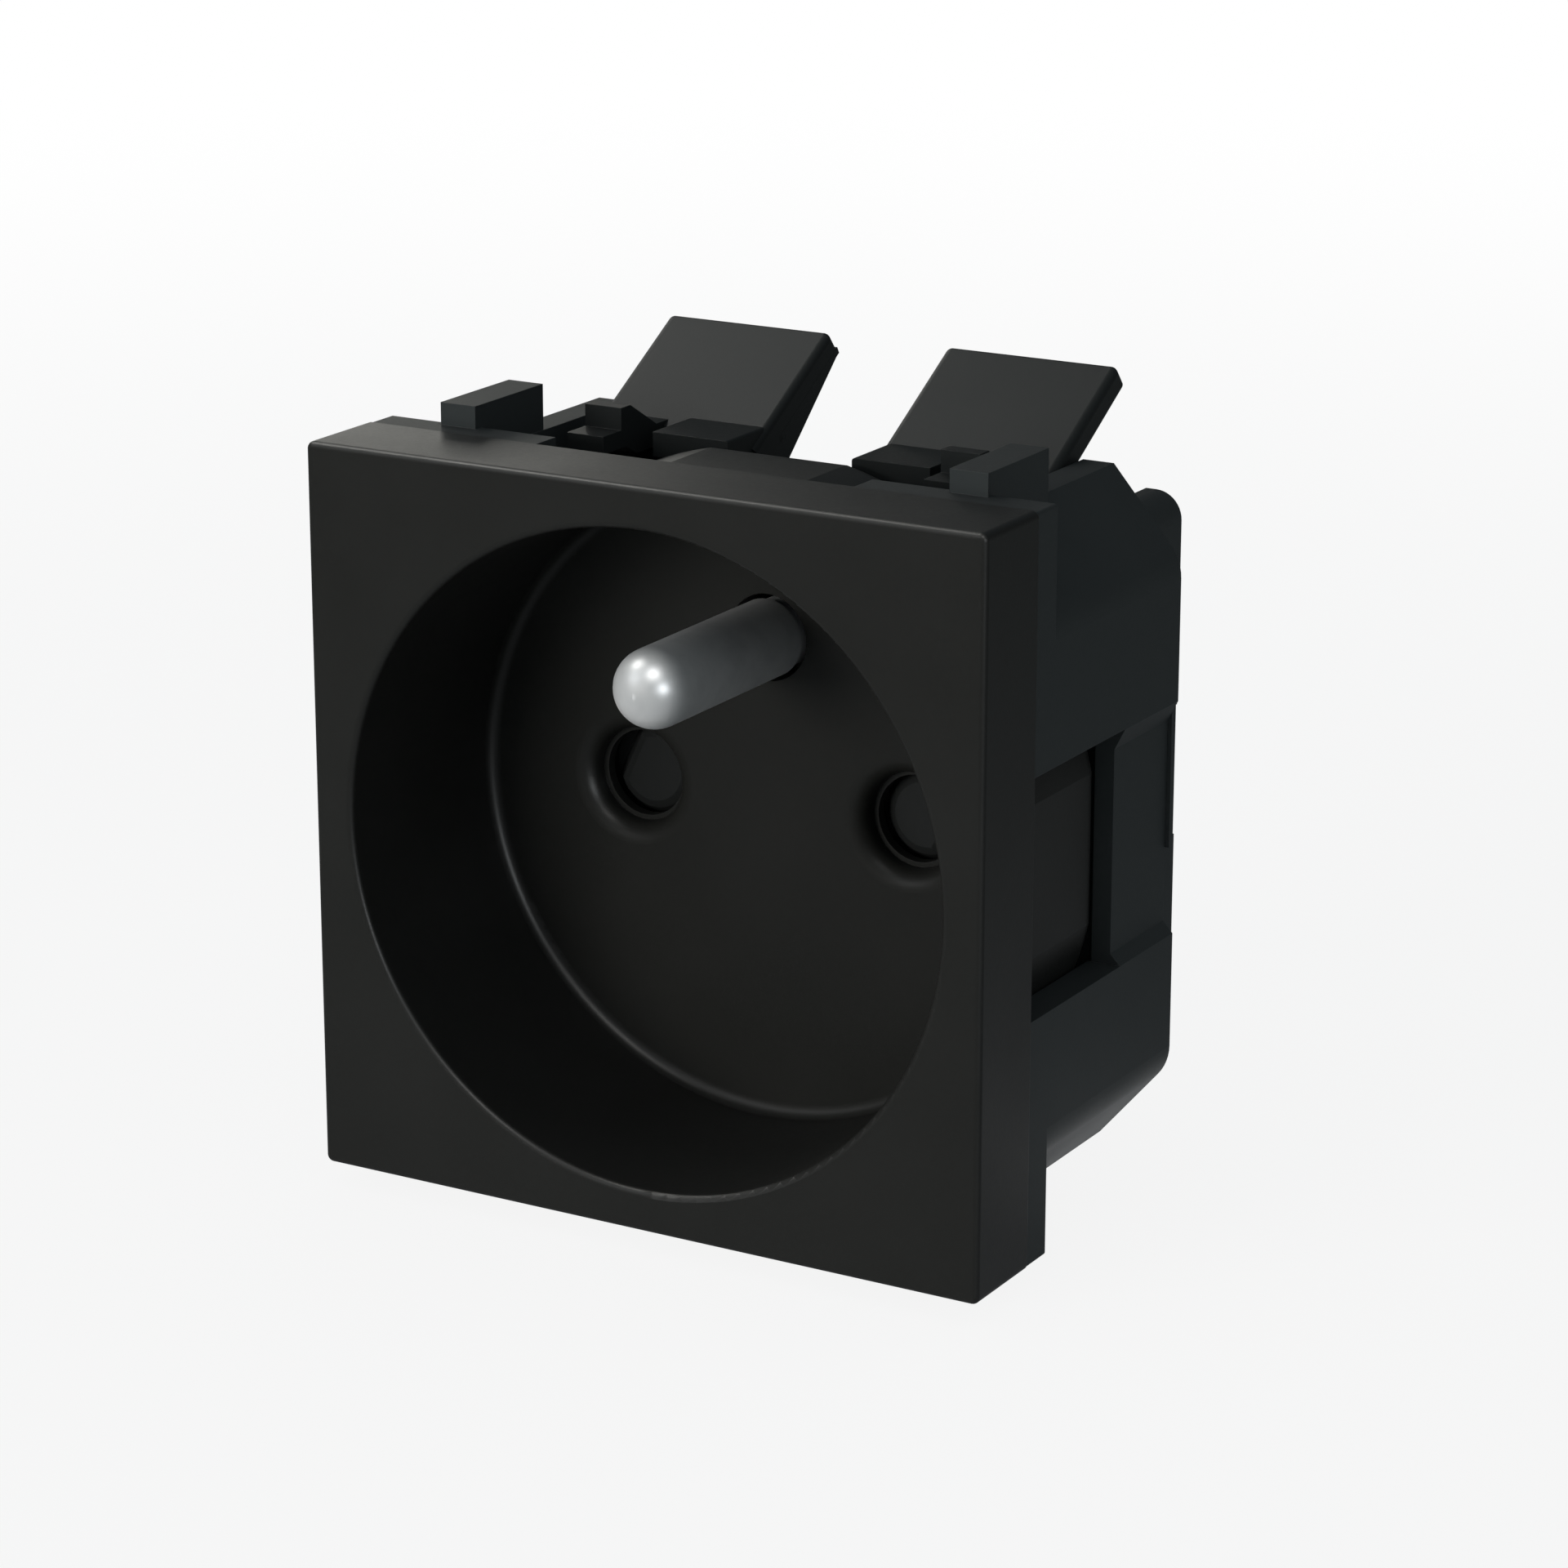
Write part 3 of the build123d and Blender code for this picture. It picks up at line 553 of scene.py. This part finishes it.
@dataclass
class Studio:
    """Pale floor, white surroundings and soft boxes.

    The camera sees floor and surroundings white. In reflections they are dimmer: the floor is
    brightest beneath the housing's right edge and falls off with distance, and the room is dark
    with a slightly lighter ceiling.
    """

    floor_z: float = -23.85 * MM
    floor_radius: float = 3.0
    floor_corners: int = 96
    floor_paint: Colour = (0.86, 0.86, 0.86)
    floor_roughness: float = 0.8
    floor_specular: float = 0.1
    floor_grain_mm: float = 0.8
    floor_grain_depth_mm: float = 0.01
    floor_grain_strength: float = 0.1
    floor_white: float = 0.88
    fade_start: float = 0.10
    fade_end: float = 0.45
    under_in_gloss: Colour = (0.68, 0.69, 0.70)
    under_centre: Place = (0.012, 0.032, 0.0)
    under_start: float = 0.014
    under_end: float = 0.023
    near_in_gloss: Colour = (0.24, 0.25, 0.26)
    far_in_gloss: Colour = (0.12, 0.13, 0.13)
    gloss_reach: float = 0.17
    ambient: Colour = (0.28, 0.31, 0.32)
    horizon_in_gloss: Colour = (0.06, 0.06, 0.06)
    ceiling_in_gloss: Colour = (0.08, 0.10, 0.11)
    ceiling_start: float = 0.25
    ceiling_full: float = 0.60
    lamps: Sequence[SoftBox] = (
        SoftBox("key_box", (-0.25, -0.64, 0.04), (0.35, 0.35), 4.7, (1.0, 0.98, 0.94), Reach.MATT),
        SoftBox("front_box", (0.17, -0.34, 0.54), (0.28, 0.24), 1.9, (1.0, 0.99, 0.97)),
        SoftBox("side_box", (0.50, -0.34, 0.13), (0.16, 0.16), 1.3, (0.94, 0.98, 1.0)),
        SoftBox("back_box", (-0.40, 0.19, 0.40), (0.25, 0.25), 0.5, (1.0, 0.99, 0.94)),
        SoftBox("low_box", (-0.360, 0.370, 0.118), (0.20, 0.12), 0.19, (1.0, 0.99, 0.92)),
        SoftBox("left_box", (-0.30, -0.41, 0.31), (0.30, 0.30), 0.62, (0.98, 0.99, 1.0)),
        SoftBox("top_box", (-0.33, -0.04, 0.48), (0.16, 0.16), 1.8, (1.0, 0.99, 0.95)),
    )

    def build(self) -> None:
        """Makes the floor, the world and the lamps."""
        self._lay_floor()
        self._fill_world()
        for lamp in self.lamps:
            lamp.build()

    def _lay_floor(self) -> None:
        """Adds the round floor."""
        bpy.ops.mesh.primitive_circle_add(
            vertices=self.floor_corners, radius=self.floor_radius, fill_type="NGON",
            location=(0, 0, self.floor_z),
        )
        floor = bpy.context.object
        floor.name = "floor"
        floor.data.materials.append(self._floor_material())

    def _floor_material(self) -> bpy.types.Material:
        """Paints the floor: pale under the socket, where its shadow shows, and white far off.

        Returns:
            The floor's material.
        """
        bench = PaintBench(bpy.data.materials.new("pale_floor"))
        where = bench.node("ShaderNodeTexCoord", {}, {}, "Object")
        length = {"operation": "LENGTH"}
        reach = bench.node("ShaderNodeVectorMath", length, {0: where}, "Value")
        shade = 1.0 - self.floor_white
        white = 1.0 - (1.0 - bench.fade(reach, self.fade_start, self.fade_end)) * shade
        shown = bench.glow(
            bench.blend(bench.ray_is("Glossy"), WHITE, self._floor_in_gloss(bench, where, reach))
        )
        amount = (white * bench.seen_directly()).highest(bench.ray_is("Glossy"))
        feeds = {0: amount, 1: self._floor_paint(bench), 2: shown}
        return bench.finish(bench.node("ShaderNodeMixShader", {}, feeds))

    def _floor_paint(self, bench: PaintBench) -> Signal:
        """Makes the floor's matt paint, which takes the shadow.

        Args:
            bench: The floor's node tree.

        Returns:
            The paint's shader.
        """
        grain = {
            "Strength": self.floor_grain_strength,
            "Distance": self.floor_grain_depth_mm * MM,
            "Height": bench.noise(bench.place_mm(), self.floor_grain_mm, FINE_DETAIL),
        }
        feeds = {
            "Base Color": (*self.floor_paint, 1.0),
            "Roughness": self.floor_roughness,
            "Specular IOR Level": self.floor_specular,
            "Normal": bench.node("ShaderNodeBump", {}, grain),
        }
        return bench.node("ShaderNodeBsdfPrincipled", {}, feeds)

    def _floor_in_gloss(self, bench: PaintBench, where: Signal, reach: Signal) -> Signal:
        """Mixes the colour that the floor has in reflections.

        Args:
            bench: The floor's node tree.
            where: The place on the floor.
            reach: Its distance from the floor's centre.

        Returns:
            The colour.
        """
        distance = {"operation": "DISTANCE"}
        feeds = {0: where, 1: self.under_centre}
        beneath = bench.node("ShaderNodeVectorMath", distance, feeds, "Value")
        falloff = bench.fade(reach, 0.0, self.gloss_reach)
        around = bench.blend(falloff, self.near_in_gloss, self.far_in_gloss)
        outside = bench.fade(beneath, self.under_start, self.under_end)
        return bench.blend(outside, self.under_in_gloss, around)

    def _fill_world(self) -> None:
        """White all round for the camera, a dim room in reflections, and a plain even light."""
        world = bpy.data.worlds.new("studio")
        bpy.context.scene.world = world
        bench = PaintBench(world)
        way = bench.node("ShaderNodeTexCoord", {}, {}, "Generated")
        height = bench.node("ShaderNodeSeparateXYZ", {}, {0: way}, "Z")
        ceiling = bench.fade(height, self.ceiling_start, self.ceiling_full)
        room = bench.blend(ceiling, self.horizon_in_gloss, self.ceiling_in_gloss)
        seen = bench.blend(bench.ray_is("Glossy"), WHITE, room)
        mixed = bench.node("ShaderNodeMixShader", {}, {
            0: bench.seen_directly(),
            1: bench.glow(self.ambient, "ShaderNodeBackground"),
            2: bench.glow(seen, "ShaderNodeBackground"),
        })
        bench.finish(mixed, "ShaderNodeOutputWorld")


@dataclass
class PhotoCamera:
    """The camera at the photograph's place."""

    place: Place = (140.557 * MM, -224.986 * MM, 85.349 * MM)
    target: Place = (4.044 * MM, 10.0 * MM, 3.015 * MM)
    roll_degrees: float = 0.036
    lens_mm: float = 111.20
    sensor_mm: float = 36.0
    nearest: float = 0.01
    farthest: float = 20.0

    def build(self) -> None:
        """Adds the camera and makes it the scene's own."""
        bpy.ops.object.camera_add(location=self.place)
        camera = bpy.context.object
        camera.name = "photo_camera"
        camera.rotation_mode = "QUATERNION"
        look = (Vector(self.target) - Vector(self.place)).to_track_quat("-Z", "Y")
        roll = Quaternion((0, 0, 1), math.radians(self.roll_degrees))
        camera.rotation_quaternion = look @ roll
        camera.data.lens = self.lens_mm
        camera.data.sensor_width = self.sensor_mm
        camera.data.clip_start = self.nearest
        camera.data.clip_end = self.farthest
        bpy.context.scene.camera = camera


def main() -> None:
    """Builds the camera, the pieces and the studio in order."""
    logging.basicConfig(level=logging.INFO, format="%(name)s: %(message)s")
    bpy.ops.object.select_all(action="DESELECT")
    PhotoCamera().build()
    Mouldings().build()
    Metalwork().build()
    LeverWebs().build()
    Studio().build()
    bpy.context.scene.view_settings.view_transform = "Standard"


if __name__ == "__main__":
    main()
